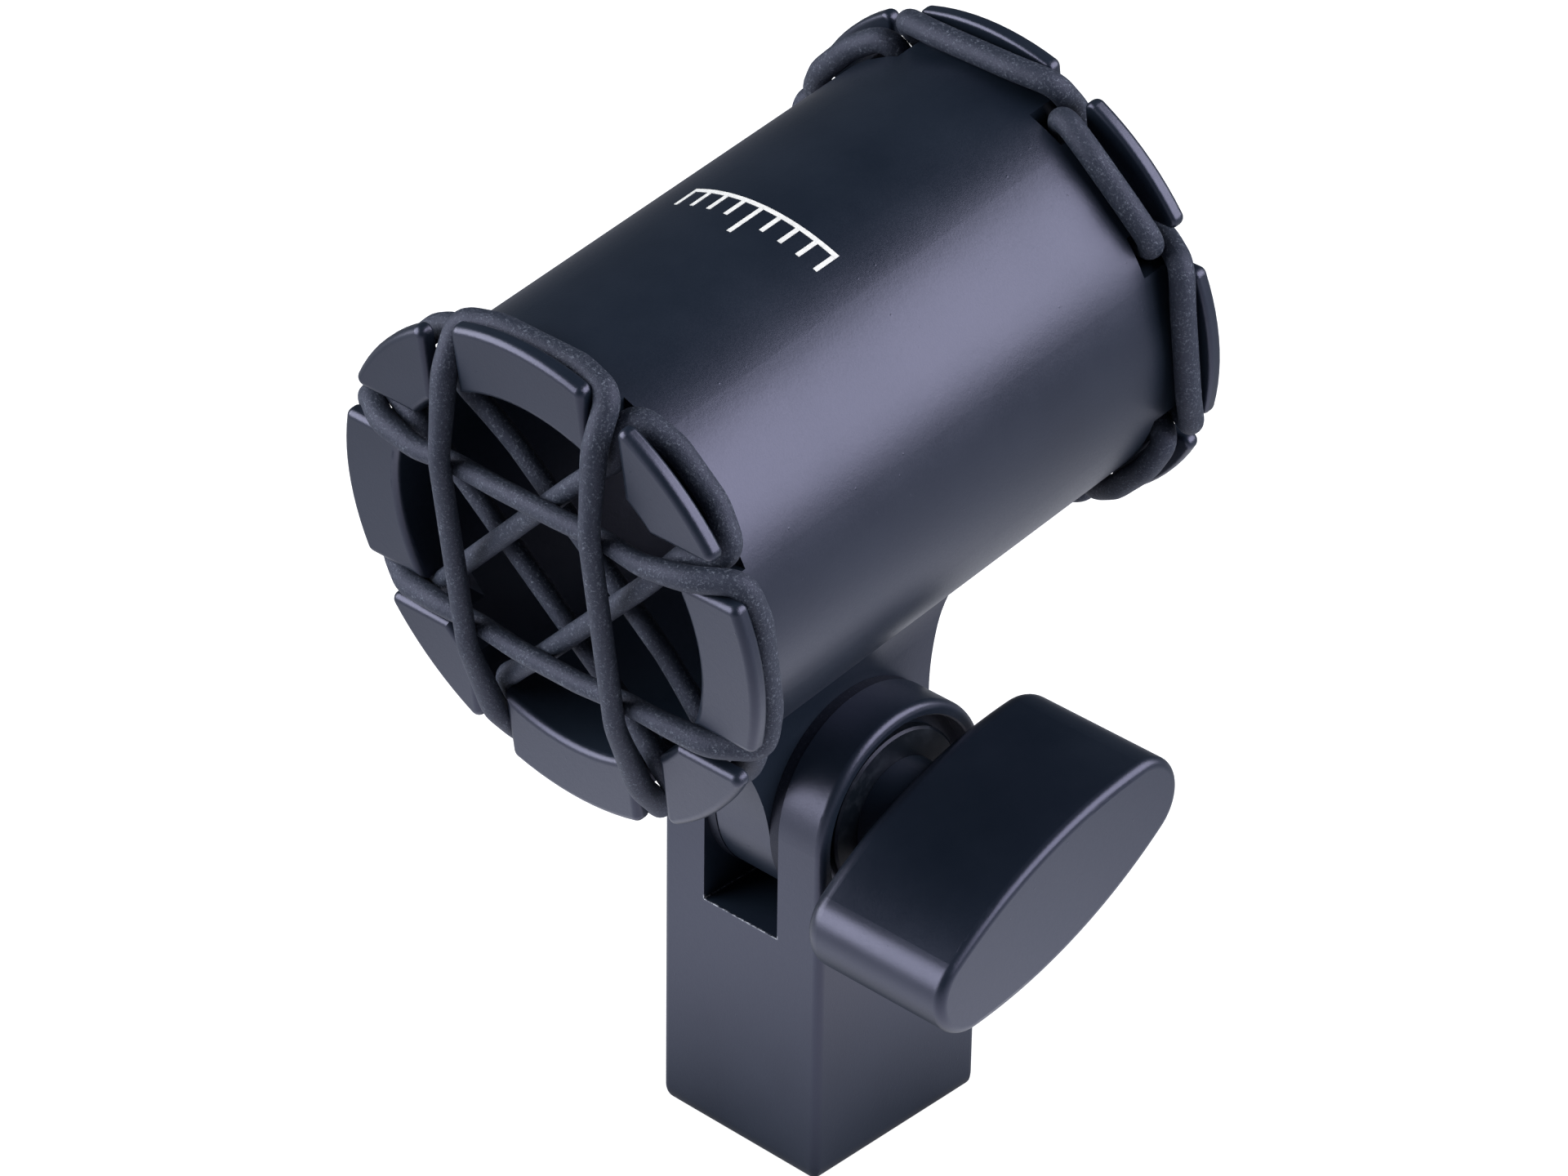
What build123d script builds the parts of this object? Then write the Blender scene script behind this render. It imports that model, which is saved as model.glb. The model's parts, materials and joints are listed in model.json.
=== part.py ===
from build123d import *
from math import acos, cos, radians, sin, tan
import os

# Suspension holder for a slim condenser microphone.
# A slotted sleeve carries a web of rubber rings at each end and tilts on a clevis stem
# that screws onto a stand. Lengths are in millimetres and angles in degrees.
#
# Row frame: origin at the middle of the stem's bottom face, +Z up, +X along the hinge
# towards the thumb knob, and -Y towards the front of the sleeve.
# Hinge frame: the same directions, with its origin on the hinge line.
# Cradle frame: the hinge frame turned by the rest tilt, so +Y runs along the sleeve.
# Ring frame: origin where the sleeve's axis meets an end face, Y into the sleeve.

# ---- Driving dimensions ----------------------------------------------------------

# Gaps
SEAT_GAP = 0.02            # between pieces that are fixed together
RUNNING_GAP = 0.05         # radial gap where one piece turns on another
FACE_GAP = 0.03            # between the faces of the pieces in the clevis

# Stem
STEM_WIDTH = 22.0          # along the hinge
STEM_DEPTH = 24.5          # along the sleeve, and the diameter of the rounded ears
HINGE_HEIGHT = 41.1
SLOT_WIDTH = 10.3
SLOT_FLOOR = 12.3          # below the hinge line
STEM_EDGE = 0.9
FOOT_EDGE = 2.5
RECESS_RADIUS = 10.7       # round recess in the knob-side ear
RECESS_DEPTH = 2.1
RECESS_EDGE = 0.2

# Stand thread, 5/8 inch by 27 turns per inch
THREAD_MINOR_RADIUS = 7.43
INSERT_RADIUS = 8.9
INSERT_LENGTH = 16.0
INSERT_CHAMFER = 0.5
SOCKET_DEPTH = 18.0

# Pivot bolt, M6
BOLT_RADIUS = 3.0
BOLT_END = 22.5
BOLT_CHAMFER = 0.5
BOLT_HEAD_FLATS = 10.0
BOLT_HEAD_HEIGHT = 3.2
BOLT_HEAD_SUNK = 0.4

# Pivot stack between the ears
DISC_RADIUS = 12.1
DISC_THICKNESS = 1.3
BUSH_RADIUS = 4.5
WASHER_RADIUS = 9.1
WASHER_THICKNESS = 1.2
WASHER_CHAMFER = 0.25

# Thumb knob
KNOB_INNER_FACE = 13.3
KNOB_OUTER_FACE = 32.2
KNOB_HALF_LENGTH = 18.5
KNOB_HALF_THICKNESS = 7.2
KNOB_TIP_RADIUS = 5.2
KNOB_RISE = 20.8           # how far the wing's long axis rises towards +Y
KNOB_INNER_EDGE = 2.2
KNOB_OUTER_EDGE = 1.0
KNOB_BOSS_RADIUS = 6.0
KNOB_INSERT_RADIUS = 4.2
KNOB_INSERT_LENGTH = 13.0
KNOB_BORE_SPARE = 1.0

# Sleeve
REST_TILT = 8.5            # the rear end is raised
AXIS_HEIGHT = 46.0         # sleeve axis above the hinge line
SLEEVE_LENGTH = 67.2
SLEEVE_SHIFT = 0.3         # the sleeve's middle lies this far behind the hinge
SLEEVE_RADIUS = 24.08
BORE_RADIUS = 20.1
LIP_RADIUS = 27.4
LIP_THICKNESS = 1.8
LIP_FACE_EDGE = 0.8
LIP_BACK_EDGE = 0.5
LAND_CORNER = 0.9          # rounds each land's two outer corners
NOTCH_WIDTH = 4.0
NOTCH_OFFSET = 10.7        # from the sleeve's axis to the middle of a notch
NOTCH_DEPTH = 5.3

# Tilt lug
EYE_RADIUS = 12.0
NECK_FLARE_START = 1.0     # above the hinge line
NECK_FLARE = 25.0
SIDE_FLARE_START = 11.6
SIDE_FLARE = 15.0
SADDLE_HALF_LENGTH = 22.0
SADDLE_HALF_WIDTH = 9.5

# Lug screws, M4 countersunk
SCREW_SPACING = 20.0
SCREW_RADIUS = 2.0
SCREW_HEAD_RADIUS = 3.8
SCREW_HEAD_RIM = 0.4
SCREW_LENGTH = 11.0
SCREW_SUNK = 0.4           # head top below the bore wall
SCREW_SOCKET_FLATS = 2.5
SCREW_SOCKET_DEPTH = 1.3
TAPPED_HOLE_SPARE = 1.0

# Rubber rings, drawn by the centre line of the cord. Each corner is (distance from the
# ring's middle plane, depth, distance along the span). Depths are from the sleeve's end
# face and positive into the sleeve.
CORD_RADIUS = 1.15
CORD_PRESS_GAP = 0.02      # left where one cord dents another
RING_TURNS = {"upright": 0, "level": 90, "rising": 45, "falling": -45}
SQUARE_SPAN = 10.0         # from the middle plane to an upright or level span
UPRIGHT_BULGE = -2.0
BULGE_END = 11.5
LEVEL_CROSSING_DEPTH = -0.1
LEVEL_MIDDLE_DEPTH = -0.5
LEVEL_MIDDLE_END = 4.0
SQUARE_NOTCH = (9.9, 0.2, 20.5)
SQUARE_TURN = (9.9, 3.0, 25.0)
SQUARE_WRAP = (5.3, 3.8, 25.5)
DIAGONAL_SPAN = 5.45       # from the middle plane to a diagonal span
DIAGONAL_SPAN_END = 15.0
RISING_DEPTH = 1.35
FALLING_DEPTH = 3.15
DIAGONAL_NOTCH = (5.45, 2.6, 20.0)
DIAGONAL_TURN = (7.7, 4.3, 24.5)
DIAGONAL_WRAP = (3.2, 5.2, 25.55)
SPAN_BEND = 6.0
NOTCH_BEND = 1.8
WRAP_BEND = 3.0

# ---- Derived dimensions ----------------------------------------------------------

HALF_STEM = STEM_WIDTH / 2
HALF_SLOT = SLOT_WIDTH / 2
HALF_SLEEVE = SLEEVE_LENGTH / 2
EAR_RADIUS = STEM_DEPTH / 2
LUG_HALF_THICKNESS = HALF_SLOT - DISC_THICKNESS - 2 * FACE_GAP
RECESS_FLOOR = HALF_STEM - RECESS_DEPTH
WASHER_INNER_FACE = RECESS_FLOOR + FACE_GAP
WASHER_OUTER_FACE = WASHER_INNER_FACE + WASHER_THICKNESS
KNOB_START = WASHER_OUTER_FACE + FACE_GAP
BOLT_HEAD_OUTER_FACE = -HALF_STEM + BOLT_HEAD_SUNK
BOLT_HEAD_INNER_FACE = BOLT_HEAD_OUTER_FACE + BOLT_HEAD_HEIGHT
BOLT_HOLE_RADIUS = BOLT_RADIUS + RUNNING_GAP
SADDLE_RADIUS = SLEEVE_RADIUS + SEAT_GAP
SCREW_HEAD_TOP = AXIS_HEIGHT - BORE_RADIUS - SCREW_SUNK
SCREW_HEAD_CLEAR_HEIGHT = SCREW_SUNK + BORE_RADIUS / 2    # cuts through the bore wall
ALONG_HINGE = (1, 0, 0)
ALONG_SLEEVE = (0, 1, 0)
UPWARDS = (0, 0, 1)
CENTRE = (0, 0, 0)
PAST_ALL = 80.0            # reaches past any piece
EDGE_TOLERANCE = 0.001     # for picking the edges in a plane
HINGE_FRAME = Pos(0, 0, HINGE_HEIGHT)
CRADLE_FRAME = HINGE_FRAME * Rot(REST_TILT, 0, 0)
SLEEVE_CENTRE = (0, SLEEVE_SHIFT, AXIS_HEIGHT)


# ---- Shape helpers ---------------------------------------------------------------

def rod(radius, start, end, direction, point=CENTRE):
    """A cylinder along a line through a point, between two distances from that point."""
    plane = Plane(origin=Vector(*point) + Vector(*direction) * start, z_dir=direction)
    return extrude(plane * Circle(radius), end - start)


def hexagon_rod(flats, start, end, direction, point=CENTRE):
    """A hexagonal prism along a line through a point."""
    plane = Plane(origin=Vector(*point) + Vector(*direction) * start, z_dir=direction)
    return extrude(plane * RegularPolygon(flats / 2, 6, major_radius=False), end - start)


def hinge_plane(x):
    """A plane across the hinge line, drawn in Y and Z."""
    return Plane(origin=(x, 0, 0), x_dir=ALONG_SLEEVE, z_dir=ALONG_HINGE)


def front_plane(y):
    """A plane across the sleeve, drawn in X and Z."""
    return Plane(origin=(0, y, 0), x_dir=ALONG_HINGE, z_dir=(0, -1, 0))


def edges_at(shape, axis, position):
    """The edges that lie in the plane across an axis at one position."""
    return shape.edges().filter_by_position(axis, position - EDGE_TOLERANCE, position + EDGE_TOLERANCE)


def flared_outline(half_width, flare_start, flare_radius, half_foot, top):
    """A symmetric outline: straight sides that flare outwards on an arc, then a flat top."""
    turn = acos(1 - (half_foot - half_width) / flare_radius)

    def flare_point(angle):
        return half_width + flare_radius * (1 - cos(angle)), flare_start + flare_radius * sin(angle)

    flare = ThreePointArc(flare_point(0), flare_point(turn / 2), flare_point(turn))
    below = Polyline((0, 0), (half_width, 0), flare_point(0))
    above = Polyline(flare_point(turn), (half_foot, top), (0, top), (0, 0))
    half = make_face([*below.edges(), *flare.edges(), *above.edges()])
    return half + mirror(half, Plane.YZ)


# ---- Stem --------------------------------------------------------------------------

def stem_block():
    """Square stem with a slotted, round-topped clevis, a knob recess and a bolt pocket."""
    side = Rectangle(STEM_DEPTH, HINGE_HEIGHT, align=(Align.CENTER, Align.MAX))
    side = fillet(side.vertices().group_by(Axis.Y)[0], FOOT_EDGE) + Circle(EAR_RADIUS)
    block = extrude(hinge_plane(-HALF_STEM) * side, STEM_WIDTH)
    block = fillet(edges_at(block, Axis.X, -HALF_STEM) + edges_at(block, Axis.X, HALF_STEM), STEM_EDGE)
    front = Rectangle(STEM_WIDTH, HINGE_HEIGHT + EAR_RADIUS, align=(Align.CENTER, Align.MIN))
    front = fillet(front.vertices().group_by(Axis.Y)[0], FOOT_EDGE)
    block &= extrude(front_plane(EAR_RADIUS) * Pos(0, -HINGE_HEIGHT) * front, STEM_DEPTH)
    block -= Pos(0, 0, -SLOT_FLOOR) * Box(
        SLOT_WIDTH, PAST_ALL, PAST_ALL, align=(Align.CENTER, Align.CENTER, Align.MIN)
    )
    block -= rod(BOLT_HOLE_RADIUS, -HALF_STEM, HALF_STEM, ALONG_HINGE)
    block -= rod(RECESS_RADIUS, RECESS_FLOOR, HALF_STEM, ALONG_HINGE)
    recess_rim = edges_at(block, Axis.X, HALF_STEM).filter_by(GeomType.CIRCLE).sort_by(Edge.length)[-1]
    block = chamfer(recess_rim, RECESS_EDGE)
    block -= hexagon_rod(
        BOLT_HEAD_FLATS + 2 * RUNNING_GAP, -HALF_STEM, BOLT_HEAD_INNER_FACE + SEAT_GAP, ALONG_HINGE
    )
    block -= rod(INSERT_RADIUS + SEAT_GAP, -HINGE_HEIGHT, -HINGE_HEIGHT + SOCKET_DEPTH, UPWARDS)
    return HINGE_FRAME * block


def thread_insert():
    """Brass socket for the stand's thread, drawn at the thread's minor radius."""
    sleeve = rod(INSERT_RADIUS, 0, INSERT_LENGTH, UPWARDS)
    sleeve = chamfer(edges_at(sleeve, Axis.Z, INSERT_LENGTH), INSERT_CHAMFER)
    return sleeve - rod(THREAD_MINOR_RADIUS, 0, INSERT_LENGTH, UPWARDS)


def pivot_bolt():
    """Hexagon bolt held by its head in one ear, with its end in the knob."""
    shank = rod(BOLT_RADIUS, BOLT_HEAD_INNER_FACE, BOLT_END, ALONG_HINGE)
    shank = chamfer(edges_at(shank, Axis.X, BOLT_END), BOLT_CHAMFER)
    head = hexagon_rod(BOLT_HEAD_FLATS, BOLT_HEAD_OUTER_FACE, BOLT_HEAD_INNER_FACE, ALONG_HINGE)
    return HINGE_FRAME * (head + shank)


def friction_disc(side):
    """Flat disc that fills the space between the lug and one ear."""
    near, far = HALF_SLOT - FACE_GAP - DISC_THICKNESS, HALF_SLOT - FACE_GAP
    direction = (side, 0, 0)
    disc = rod(DISC_RADIUS, near, far, direction) - rod(BOLT_HOLE_RADIUS, near, far, direction)
    return HINGE_FRAME * disc


def thrust_washer():
    """Washer in the knob-side recess."""
    washer = rod(WASHER_RADIUS, WASHER_INNER_FACE, WASHER_OUTER_FACE, ALONG_HINGE)
    washer = chamfer(edges_at(washer, Axis.X, WASHER_OUTER_FACE), WASHER_CHAMFER)
    return HINGE_FRAME * (washer - rod(BOLT_HOLE_RADIUS, 0, PAST_ALL, ALONG_HINGE))


# ---- Knob --------------------------------------------------------------------------

def wing_outline():
    """Eye-shaped outline: two long side arcs that run into small round tips."""
    tip_centre = KNOB_HALF_LENGTH - KNOB_TIP_RADIUS
    thickness, tip = KNOB_HALF_THICKNESS, KNOB_TIP_RADIUS
    side_radius = (tip_centre**2 + thickness**2 - tip**2) / (2 * (thickness - tip))
    drop = side_radius - thickness
    reach = side_radius / (side_radius - tip)
    touch = (tip_centre * reach, drop * reach - drop)
    right, left = touch, (-touch[0], touch[1])
    outline = [
        ThreePointArc(left, (0, thickness), right),
        ThreePointArc(right, (KNOB_HALF_LENGTH, 0), (right[0], -right[1])),
        ThreePointArc((right[0], -right[1]), (0, -thickness), (left[0], -left[1])),
        ThreePointArc((left[0], -left[1]), (-KNOB_HALF_LENGTH, 0), left),
    ]
    return make_face([edge for arc in outline for edge in arc.edges()])


def thumb_knob():
    """Winged knob on a short round boss, bored for its brass insert."""
    length = KNOB_OUTER_FACE - KNOB_INNER_FACE
    wing = extrude(hinge_plane(KNOB_INNER_FACE) * Rot(0, 0, KNOB_RISE) * wing_outline(), length)
    wing = fillet(edges_at(wing, Axis.X, KNOB_INNER_FACE), KNOB_INNER_EDGE)
    wing = fillet(edges_at(wing, Axis.X, KNOB_OUTER_FACE), KNOB_OUTER_EDGE)
    knob = wing + rod(KNOB_BOSS_RADIUS, KNOB_START, KNOB_INNER_FACE + KNOB_INNER_EDGE, ALONG_HINGE)
    bore_end = KNOB_START + KNOB_INSERT_LENGTH + KNOB_BORE_SPARE
    knob -= rod(KNOB_INSERT_RADIUS + SEAT_GAP, KNOB_START, bore_end, ALONG_HINGE)
    return HINGE_FRAME * knob


def knob_insert():
    """Brass nut moulded into the knob, running on the bolt."""
    end = KNOB_START + KNOB_INSERT_LENGTH
    insert = rod(KNOB_INSERT_RADIUS, KNOB_START, end, ALONG_HINGE)
    return HINGE_FRAME * (insert - rod(BOLT_HOLE_RADIUS, KNOB_START, end, ALONG_HINGE))


# ---- Sleeve ------------------------------------------------------------------------

def notch_strips():
    """The four straight strips that cut the notches, drawn in X and Z."""
    across = Rectangle(NOTCH_WIDTH, PAST_ALL)
    level = Rectangle(PAST_ALL, NOTCH_WIDTH)
    offsets = (-NOTCH_OFFSET, NOTCH_OFFSET)
    return [Pos(offset, 0) * across for offset in offsets] + [Pos(0, offset) * level for offset in offsets]


def lip_lands():
    """The eight lands of the lip at the front end."""
    outline = Circle(LIP_RADIUS) - Circle(BORE_RADIUS) - notch_strips()
    outer_corners = outline.vertices().filter_by(lambda corner: Vector(corner).length > SLEEVE_RADIUS)
    outline = fillet(outer_corners, LAND_CORNER)
    lands = extrude(front_plane(-HALF_SLEEVE) * outline, -LIP_THICKNESS)
    lands = fillet(edges_at(lands, Axis.Y, -HALF_SLEEVE), LIP_FACE_EDGE)
    return fillet(edges_at(lands, Axis.Y, LIP_THICKNESS - HALF_SLEEVE), LIP_BACK_EDGE)


def sleeve_body():
    """Turned sleeve whose two lips are cut by straight notches into eight lands each."""
    tube_end = HALF_SLEEVE - LIP_THICKNESS / 2
    sleeve = rod(SLEEVE_RADIUS, -tube_end, tube_end, ALONG_SLEEVE)
    sleeve -= rod(BORE_RADIUS, -tube_end, tube_end, ALONG_SLEEVE)
    for end in (-1, 1):
        notch_floor = end * (HALF_SLEEVE - NOTCH_DEPTH)
        for strip in notch_strips():
            sleeve -= extrude(front_plane(notch_floor) * strip, -end * NOTCH_DEPTH)
    lands = lip_lands()
    sleeve += [lands, mirror(lands, Plane.XZ)]
    sleeve = Pos(*SLEEVE_CENTRE) * sleeve
    for place in screw_places():
        shank = rod(SCREW_RADIUS + RUNNING_GAP, 0, AXIS_HEIGHT, UPWARDS, place)
        sleeve -= shank + screw_head(place, SEAT_GAP, SCREW_HEAD_CLEAR_HEIGHT)
    return CRADLE_FRAME * sleeve


def tilt_lug():
    """Flat eye that turns in the clevis and flares into a saddle under the sleeve."""
    side = flared_outline(EYE_RADIUS, NECK_FLARE_START, NECK_FLARE, SADDLE_HALF_LENGTH, AXIS_HEIGHT)
    side += Circle(EYE_RADIUS)
    front = flared_outline(
        LUG_HALF_THICKNESS, SIDE_FLARE_START, SIDE_FLARE, SADDLE_HALF_WIDTH, AXIS_HEIGHT
    )
    front += Rectangle(2 * LUG_HALF_THICKNESS, EYE_RADIUS, align=(Align.CENTER, Align.MAX))
    lug = extrude(hinge_plane(-SADDLE_HALF_WIDTH) * side, 2 * SADDLE_HALF_WIDTH)
    lug &= extrude(front_plane(SADDLE_HALF_LENGTH) * front, 2 * SADDLE_HALF_LENGTH)
    lug -= rod(SADDLE_RADIUS, -PAST_ALL, PAST_ALL, ALONG_SLEEVE, SLEEVE_CENTRE)
    lug -= rod(BUSH_RADIUS + SEAT_GAP, -HALF_STEM, HALF_STEM, ALONG_HINGE)
    for place in screw_places():
        bottom = SCREW_HEAD_TOP - SCREW_LENGTH - TAPPED_HOLE_SPARE
        lug -= rod(SCREW_RADIUS + SEAT_GAP, bottom, AXIS_HEIGHT, UPWARDS, place)
    return CRADLE_FRAME * lug


def screw_places():
    """The feet of the two screw axes on the hinge plane of the cradle."""
    return [(0, -SCREW_SPACING / 2, 0), (0, SCREW_SPACING / 2, 0)]


def screw_head(place, gap, rim_extra):
    """A countersunk head, grown by a gap, with its rim carried up by an extra length."""
    cone_height = SCREW_HEAD_RADIUS - SCREW_RADIUS
    rim_bottom = SCREW_HEAD_TOP - SCREW_HEAD_RIM
    hanging = (Align.CENTER, Align.CENTER, Align.MAX)
    cone = Cone(SCREW_RADIUS + gap, SCREW_HEAD_RADIUS + gap, cone_height, align=hanging)
    rim = rod(SCREW_HEAD_RADIUS + gap, rim_bottom, SCREW_HEAD_TOP + rim_extra, UPWARDS, place)
    return Pos(place[0], place[1], rim_bottom) * cone + rim


def lug_screws():
    """Two countersunk screws from the bore into the lug, as separate solids."""
    screws = []
    for place in screw_places():
        shank = rod(SCREW_RADIUS, SCREW_HEAD_TOP - SCREW_LENGTH, SCREW_HEAD_TOP, UPWARDS, place)
        socket_floor = SCREW_HEAD_TOP - SCREW_SOCKET_DEPTH
        socket = hexagon_rod(SCREW_SOCKET_FLATS, socket_floor, SCREW_HEAD_TOP, UPWARDS, place)
        screws.append(CRADLE_FRAME * (screw_head(place, 0, 0) + shank - socket))
    return Compound(children=screws)


def pivot_bush():
    """Plain bush in the lug's eye, running on the bolt."""
    ends = (-LUG_HALF_THICKNESS, LUG_HALF_THICKNESS)
    return HINGE_FRAME * (rod(BUSH_RADIUS, *ends, ALONG_HINGE) - rod(BOLT_HOLE_RADIUS, *ends, ALONG_HINGE))


# ---- Rubber rings ------------------------------------------------------------------

def bend(before, corner, after, radius):
    """Start, middle and end of the arc that rounds one corner of a path."""
    incoming = (corner - before).normalized()
    outgoing = (after - corner).normalized()
    half_turn = radians(incoming.get_angle(outgoing)) / 2
    reach = radius * tan(half_turn)
    inwards = (outgoing - incoming).normalized()
    middle = corner + inwards * (radius / cos(half_turn) - radius)
    return corner - incoming * reach, middle, corner + outgoing * reach


def cord_ring(corners, radius):
    """A closed round cord through corners of (x, depth, height, bend radius)."""
    points = [Vector(*corner[:3]) for corner in corners]
    bends = []
    for index, corner in enumerate(corners):
        after = points[(index + 1) % len(points)]
        bends.append(bend(points[index - 1], points[index], after, corner[3]))
    edges = []
    for index, (start, middle, end) in enumerate(bends):
        edges.append(Edge.make_line(bends[index - 1][2], start))
        edges.append(Edge.make_three_point_arc(start, middle, end))
    section = Plane(origin=edges[0] @ 0, z_dir=edges[0] % 0) * Circle(radius)
    return sweep(section, path=Wire(edges))


def span_corners(kind):
    """Corners of a quarter ring, from the middle of a span to the run behind its land.

    Each corner is (distance from the ring's middle plane, depth, distance along the span,
    bend radius).
    """
    if kind == "upright":
        return [
            (SQUARE_SPAN, UPRIGHT_BULGE, BULGE_END, SPAN_BEND),
            (*SQUARE_NOTCH, SPAN_BEND),
            (*SQUARE_TURN, NOTCH_BEND),
            (*SQUARE_WRAP, WRAP_BEND),
        ]
    if kind == "level":
        return [
            (SQUARE_SPAN, LEVEL_MIDDLE_DEPTH, LEVEL_MIDDLE_END, SPAN_BEND),
            (SQUARE_SPAN, LEVEL_CROSSING_DEPTH, SQUARE_SPAN, SPAN_BEND),
            (*SQUARE_NOTCH, SPAN_BEND),
            (*SQUARE_TURN, NOTCH_BEND),
            (*SQUARE_WRAP, WRAP_BEND),
        ]
    depth = RISING_DEPTH if kind == "rising" else FALLING_DEPTH
    return [
        (DIAGONAL_SPAN, depth, DIAGONAL_SPAN_END, SPAN_BEND),
        (*DIAGONAL_NOTCH, NOTCH_BEND),
        (*DIAGONAL_TURN, NOTCH_BEND),
        (*DIAGONAL_WRAP, WRAP_BEND),
    ]


def ring_shape(kind, gap=0.0):
    """One ring at its stretched shape in the ring frame, grown by a gap."""
    quarter = span_corners(kind)
    corners = []
    for side, end in ((1, 1), (-1, 1), (-1, -1), (1, -1)):
        outwards = quarter if side == end else quarter[::-1]
        corners += [(side * across, depth, end * along, curve) for across, depth, along, curve in outwards]
    return Rot(0, RING_TURNS[kind], 0) * cord_ring(corners, CORD_RADIUS + gap)


def ring_parts():
    """Four rings for each end, stacked from the outermost inwards.

    Each ring is dented where the rings in front of it press into it.
    """
    end_frames = {
        "front": Pos(*SLEEVE_CENTRE) * Pos(0, -HALF_SLEEVE, 0),
        "rear": Pos(*SLEEVE_CENTRE) * Pos(0, HALF_SLEEVE, 0) * Rot(0, 0, 180),
    }
    parts = {}
    in_front = []
    for kind in RING_TURNS:
        ring = ring_shape(kind)
        for other in in_front:
            ring -= other
        in_front.append(ring_shape(kind, CORD_PRESS_GAP))
        for end, end_frame in end_frames.items():
            parts[f"{end}_band_{kind}"] = CRADLE_FRAME * end_frame * ring
    return parts


# ---- Output ------------------------------------------------------------------------

def all_parts():
    """Every node's name with its shape."""
    return {
        "stem_block": stem_block(),
        "thread_insert": thread_insert(),
        "pivot_bolt": pivot_bolt(),
        "friction_disc_right": friction_disc(1),
        "friction_disc_left": friction_disc(-1),
        "thrust_washer": thrust_washer(),
        "thumb_knob": thumb_knob(),
        "knob_insert": knob_insert(),
        "sleeve_body": sleeve_body(),
        "tilt_lug": tilt_lug(),
        "lug_screws": lug_screws(),
        "pivot_bush": pivot_bush(),
        **ring_parts(),
    }


os.makedirs("parts", exist_ok=True)
for node, shape in all_parts().items():
    export_step(shape, f"parts/{node}.step")
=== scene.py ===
import json
from math import atan2, cos, degrees, floor, pi, radians, sin, tan

import bmesh
import bpy
from mathutils import Matrix, Vector
from mathutils.kdtree import KDTree


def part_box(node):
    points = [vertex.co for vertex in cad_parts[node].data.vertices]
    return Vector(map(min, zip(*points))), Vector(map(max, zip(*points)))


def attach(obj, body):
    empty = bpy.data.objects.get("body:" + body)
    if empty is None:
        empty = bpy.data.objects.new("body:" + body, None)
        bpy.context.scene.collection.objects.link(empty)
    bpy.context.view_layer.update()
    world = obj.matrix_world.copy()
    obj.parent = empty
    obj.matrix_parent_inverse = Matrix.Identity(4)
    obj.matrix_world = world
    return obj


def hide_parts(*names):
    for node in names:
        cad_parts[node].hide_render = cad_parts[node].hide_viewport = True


# The looks of a shock mount for a slim condenser microphone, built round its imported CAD
# frame. Blender lengths are metres; values in millimetres are multiplied by MM.
#
# Cradle directions: ACROSS the sleeve along the hinge, ALONG its axis towards the rear,
# and UP away from the hinge.

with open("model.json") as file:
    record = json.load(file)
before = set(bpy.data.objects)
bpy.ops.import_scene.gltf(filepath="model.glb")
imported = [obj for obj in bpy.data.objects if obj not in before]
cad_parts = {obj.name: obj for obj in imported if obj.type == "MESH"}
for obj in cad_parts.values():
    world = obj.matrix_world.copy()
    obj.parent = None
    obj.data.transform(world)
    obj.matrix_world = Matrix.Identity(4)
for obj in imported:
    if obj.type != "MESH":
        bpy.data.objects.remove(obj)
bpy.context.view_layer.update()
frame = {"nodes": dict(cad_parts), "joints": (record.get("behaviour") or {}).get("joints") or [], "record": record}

MM = 0.001
mounts = {mount["name"]: mount for mount in frame["record"]["mounts"]}
joints = {joint["name"]: joint for joint in frame["joints"]}
HINGE = Vector(joints["tilt"]["pos_m"])
SLEEVE_CENTRE = Vector(mounts["microphone_cradle"]["pos_m"])
ACROSS = Vector((1, 0, 0))
ALONG = Vector(mounts["microphone_cradle"]["axis"]).normalized()
UP = ACROSS.cross(ALONG)


def reach_along_sleeve():
    """Half the sleeve's length, measured on its mesh."""
    vertices = frame["nodes"]["sleeve_body"].data.vertices
    return max((vertex.co - SLEEVE_CENTRE).dot(ALONG) for vertex in vertices)


HALF_SLEEVE = reach_along_sleeve()

# ---- Rubber rings ------------------------------------------------------------------
# A quarter of each ring, from the middle of a span to the middle of a wrap. Each corner is
# (distance from the ring's middle plane, depth, distance along the span, bend radius), in
# millimetres. Depth counts from the sleeve's end face into the sleeve.

SPAN_RADIUS = 1.07         # the cord is stretched thin across the bore
WRAP_RADIUS = 1.31         # and relaxes where it is held behind a land
THIN_WITHIN = 15.0         # distances from the sleeve's axis where the radius starts and
THICK_BEYOND = 23.0        # stops growing
PRESS_GAP = 0.012          # left between two cords that press on each other
PRESS_SEARCH = 3.12        # cords whose centre lines are further apart never press
PRESS_PASSES = 12          # each pass halves what two cords still overlap
RING_TURNS = {"upright": 0, "level": 90, "rising": 45, "falling": -45}
QUARTER_RINGS = {
    "upright": [
        (10.0, -2.4, 11.5, 6.0), (9.95, -0.2, 20.5, 5.0), (9.95, 2.6, 25.0, 1.8), (5.3, 3.5, 25.6, 3.0),
    ],
    "level": [
        (10.0, -0.9, 4.0, 6.0), (9.8, -0.5, 10.0, 6.0), (9.5, -0.8, 15.0, 6.0),
        (9.95, -0.1, 20.5, 5.0), (9.95, 2.6, 25.0, 1.8), (5.3, 3.5, 25.6, 3.0),
    ],
    "rising": [
        (5.75, 0.95, 12.0, 6.0), (5.5, 2.2, 20.0, 1.8), (8.7, 3.7, 24.2, 1.8), (3.2, 4.6, 25.6, 3.0),
    ],
    "falling": [
        (5.75, 2.75, 12.0, 6.0), (5.5, 2.2, 20.0, 1.8), (8.7, 3.7, 24.2, 1.8), (3.2, 4.6, 25.6, 3.0),
    ],
}
PATH_STEP = 0.3            # between sections of the cord
CORD_SIDES = 24
SMOOTHING_PASSES = 6
ARC_STEP = radians(8)
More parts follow.
